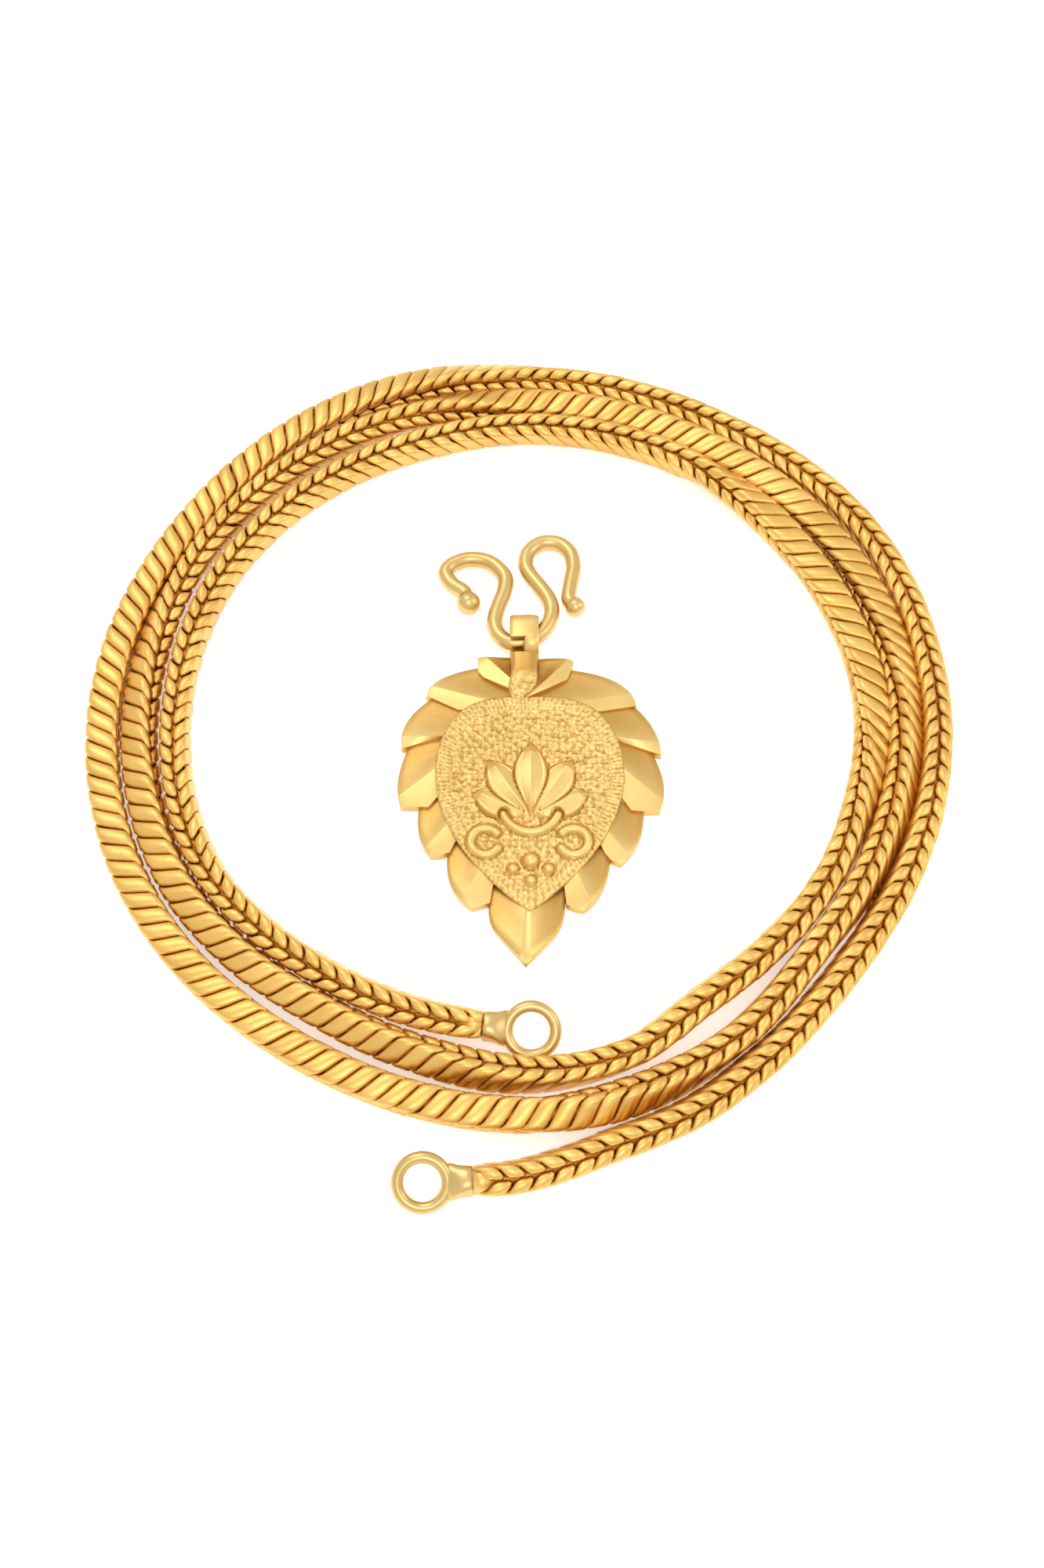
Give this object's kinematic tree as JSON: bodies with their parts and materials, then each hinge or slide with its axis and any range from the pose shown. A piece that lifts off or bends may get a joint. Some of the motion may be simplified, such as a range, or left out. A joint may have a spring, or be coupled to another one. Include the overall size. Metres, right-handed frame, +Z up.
{
  "type": "mangalsutra chain with a leaf thali pendant and hook",
  "caption": "Coiled square curb chain with an end ring at each end, and a leaf-shaped pendant with its wire hook lying inside the coil.",
  "frame": {"origin": "middle of the underside of the whole set's bounding box, on the surface on which it lies", "axes": "+Z up from that surface; +Y from the leaf's point towards its hook; +X to the right in the picture"},
  "size_m": [0.0702, 0.077, 0.0026],
  "materials": {
    "chain_gold": "polished gold plate",
    "ring_gold": "satin gold plate",
    "leaf_gold": "matte and diamond-cut gold plate",
    "hook_gold": "polished gold plate"
  },
  "bodies": {
    "root": {"chain": "chain_gold", "inner_end_ring": "ring_gold", "outer_end_ring": "ring_gold", "leaf_pendant": "leaf_gold", "hook": "hook_gold"}
  },
  "joints": []
}
